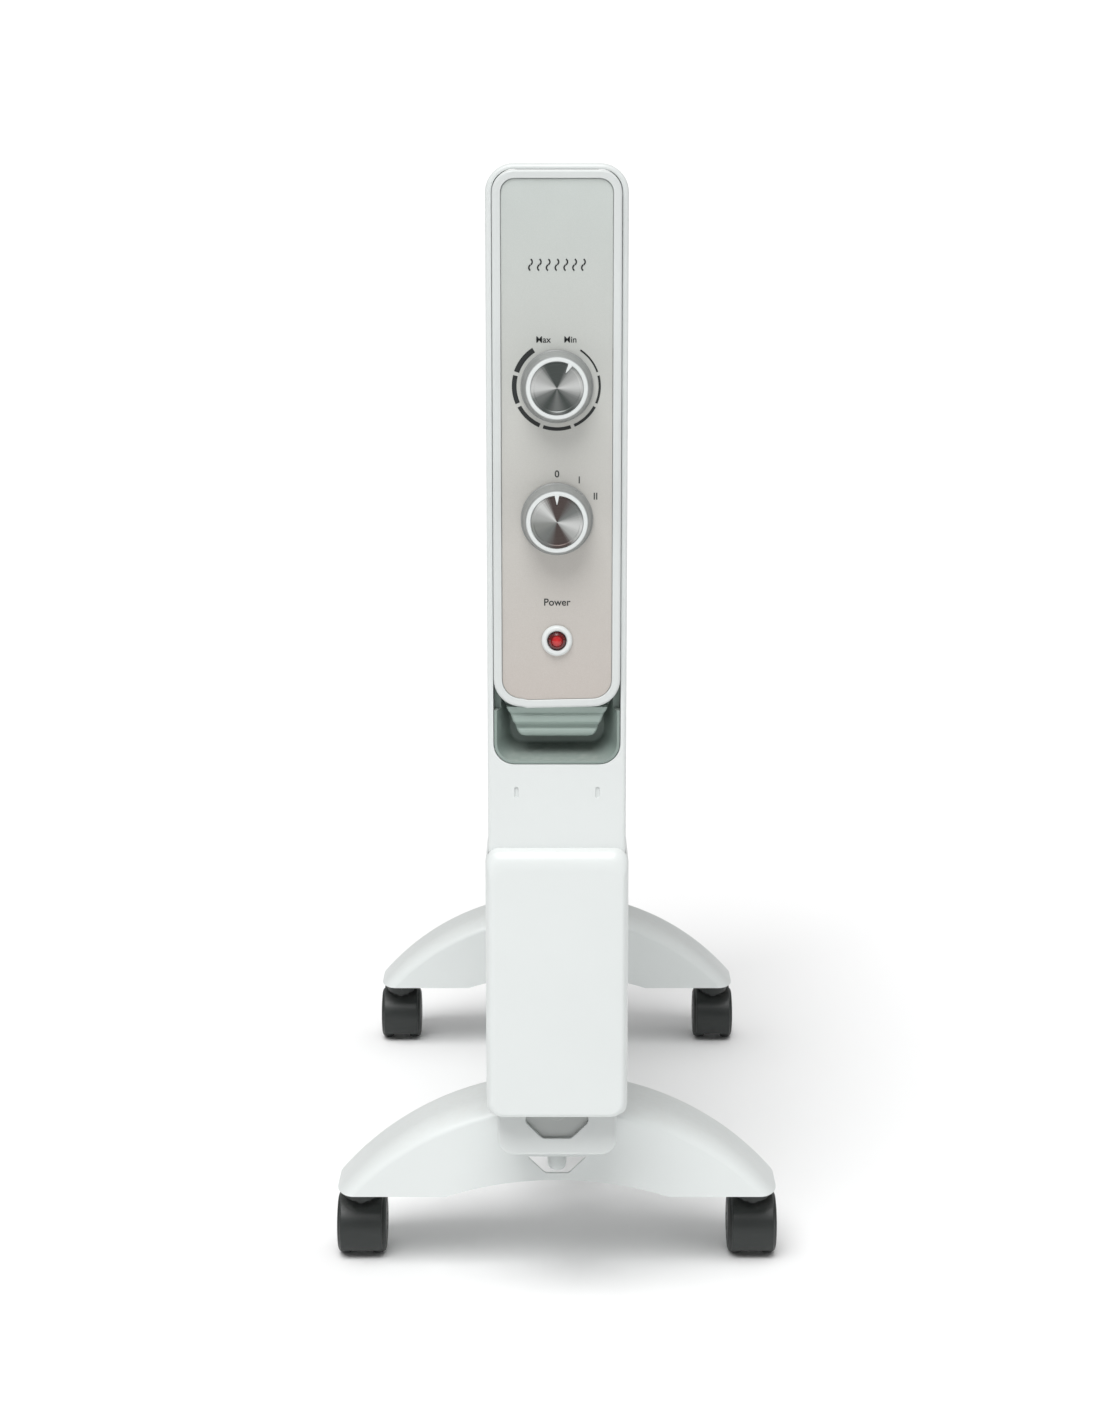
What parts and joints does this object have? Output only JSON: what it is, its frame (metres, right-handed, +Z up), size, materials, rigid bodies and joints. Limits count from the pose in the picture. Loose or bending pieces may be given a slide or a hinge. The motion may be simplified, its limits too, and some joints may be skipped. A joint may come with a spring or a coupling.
{
  "type": "oil filled radiator heater",
  "caption": "Upright finned oil filled radiator heater on swivel castors, with a narrow control column holding a thermostat, a power selector, a pilot light and a cord compartment.",
  "frame": {"origin": "on the floor, under the middle of the overall box", "axes": "+Z up, the control panel faces -Y, +X across the feet to the right when seen from the panel"},
  "size_m": [0.2626, 0.563, 0.64],
  "materials": {
    "white_shell": "satin cool white moulding",
    "white_enamel": "baked white enamel",
    "grey_recess": "matte grey-green moulding",
    "silver_fascia": "satin silver lacquer",
    "spun_metal": "spun, concentric grain",
    "red_lens": "clear red, faceted",
    "black_plastic": "satin black moulding",
    "steel": "zinc plated",
    "brown_insulator": "moulded insulator",
    "lamp_glass": "clear lamp bulb"
  },
  "bodies": {
    "radiator": {"control_housing": "white_shell", "housing_back_plate": "steel", "lower_housing": "white_shell", "cord_gland": "grey_recess", "cord_cover": "white_shell", "panel_bezel": "white_shell", "fascia_plate": "silver_fascia", "handle_recess": "grey_recess", "thermostat_body": "brown_insulator", "selector_switch": "brown_insulator", "pilot_bezel": "white_shell", "pilot_lens": "red_lens", "pilot_lamp": "lamp_glass", "thermal_cutout": "brown_insulator", "terminal_block": "brown_insulator", "heating_element": "steel", "filler_plug": "steel", "fin_01": "white_enamel", "fin_02": "white_enamel", "fin_03": "white_enamel", "fin_04": "white_enamel", "fin_05": "white_enamel", "fin_06": "white_enamel", "fin_07": "white_enamel", "fin_08": "white_enamel", "fin_09": "white_enamel", "fin_10": "white_enamel", "fin_11": "white_enamel", "front_foot": "white_shell", "front_foot_stud": "steel", "front_foot_nut": "white_shell", "rear_foot": "white_shell", "rear_foot_stud": "steel", "rear_foot_nut": "white_shell", "front_left_castor_stem": "steel", "front_right_castor_stem": "steel", "rear_left_castor_stem": "steel", "rear_right_castor_stem": "steel"},
    "thermostat_control": {"thermostat_knob": "white_shell", "thermostat_knob_cap": "spun_metal", "thermostat_spindle": "steel"},
    "selector_control": {"selector_knob": "white_shell", "selector_knob_cap": "spun_metal", "selector_spindle": "steel"},
    "front_left_castor": {"front_left_castor_hood": "black_plastic", "front_left_castor_axle": "steel"},
    "front_left_wheel_left": {"front_left_castor_wheel_left": "black_plastic"},
    "front_left_wheel_right": {"front_left_castor_wheel_right": "black_plastic"},
    "front_right_castor": {"front_right_castor_hood": "black_plastic", "front_right_castor_axle": "steel"},
    "front_right_wheel_left": {"front_right_castor_wheel_left": "black_plastic"},
    "front_right_wheel_right": {"front_right_castor_wheel_right": "black_plastic"},
    "rear_left_castor": {"rear_left_castor_hood": "black_plastic", "rear_left_castor_axle": "steel"},
    "rear_left_wheel_left": {"rear_left_castor_wheel_left": "black_plastic"},
    "rear_left_wheel_right": {"rear_left_castor_wheel_right": "black_plastic"},
    "rear_right_castor": {"rear_right_castor_hood": "black_plastic", "rear_right_castor_axle": "steel"},
    "rear_right_wheel_left": {"rear_right_castor_wheel_left": "black_plastic"},
    "rear_right_wheel_right": {"rear_right_castor_wheel_right": "black_plastic"}
  },
  "joints": [
    {"name": "thermostat_turn", "type": "hinge", "parent": "radiator", "child": "thermostat_control", "pos_m": [0, -0.2657, 0.525], "axis": [0, 1, 0], "range_deg": [0, 295]},
    {"name": "selector_turn", "type": "hinge", "parent": "radiator", "child": "selector_control", "pos_m": [0, -0.2657, 0.455], "axis": [0, 1, 0], "range_deg": [0, 60]},
    {"name": "front_left_castor_swivel", "type": "hinge", "parent": "radiator", "child": "front_left_castor", "pos_m": [-0.1165, -0.1695, 0.0185], "axis": [0, 0, 1], "continuous": true},
    {"name": "front_left_wheel_left_spin", "type": "hinge", "parent": "front_left_castor", "child": "front_left_wheel_left", "pos_m": [-0.1225, -0.1615, 0.0185], "axis": [1, 0, 0], "continuous": true},
    {"name": "front_left_wheel_right_spin", "type": "hinge", "parent": "front_left_castor", "child": "front_left_wheel_right", "pos_m": [-0.1105, -0.1615, 0.0185], "axis": [1, 0, 0], "continuous": true},
    {"name": "front_right_castor_swivel", "type": "hinge", "parent": "radiator", "child": "front_right_castor", "pos_m": [0.1165, -0.1695, 0.0185], "axis": [0, 0, 1], "continuous": true},
    {"name": "front_right_wheel_left_spin", "type": "hinge", "parent": "front_right_castor", "child": "front_right_wheel_left", "pos_m": [0.1105, -0.1615, 0.0185], "axis": [1, 0, 0], "continuous": true},
    {"name": "front_right_wheel_right_spin", "type": "hinge", "parent": "front_right_castor", "child": "front_right_wheel_right", "pos_m": [0.1225, -0.1615, 0.0185], "axis": [1, 0, 0], "continuous": true},
    {"name": "rear_left_castor_swivel", "type": "hinge", "parent": "radiator", "child": "rear_left_castor", "pos_m": [-0.1165, 0.2445, 0.0185], "axis": [0, 0, 1], "continuous": true},
    {"name": "rear_left_wheel_left_spin", "type": "hinge", "parent": "rear_left_castor", "child": "rear_left_wheel_left", "pos_m": [-0.1225, 0.2525, 0.0185], "axis": [1, 0, 0], "continuous": true},
    {"name": "rear_left_wheel_right_spin", "type": "hinge", "parent": "rear_left_castor", "child": "rear_left_wheel_right", "pos_m": [-0.1105, 0.2525, 0.0185], "axis": [1, 0, 0], "continuous": true},
    {"name": "rear_right_castor_swivel", "type": "hinge", "parent": "radiator", "child": "rear_right_castor", "pos_m": [0.1165, 0.2445, 0.0185], "axis": [0, 0, 1], "continuous": true},
    {"name": "rear_right_wheel_left_spin", "type": "hinge", "parent": "rear_right_castor", "child": "rear_right_wheel_left", "pos_m": [0.1105, 0.2525, 0.0185], "axis": [1, 0, 0], "continuous": true},
    {"name": "rear_right_wheel_right_spin", "type": "hinge", "parent": "rear_right_castor", "child": "rear_right_wheel_right", "pos_m": [0.1225, 0.2525, 0.0185], "axis": [1, 0, 0], "continuous": true}
  ]
}
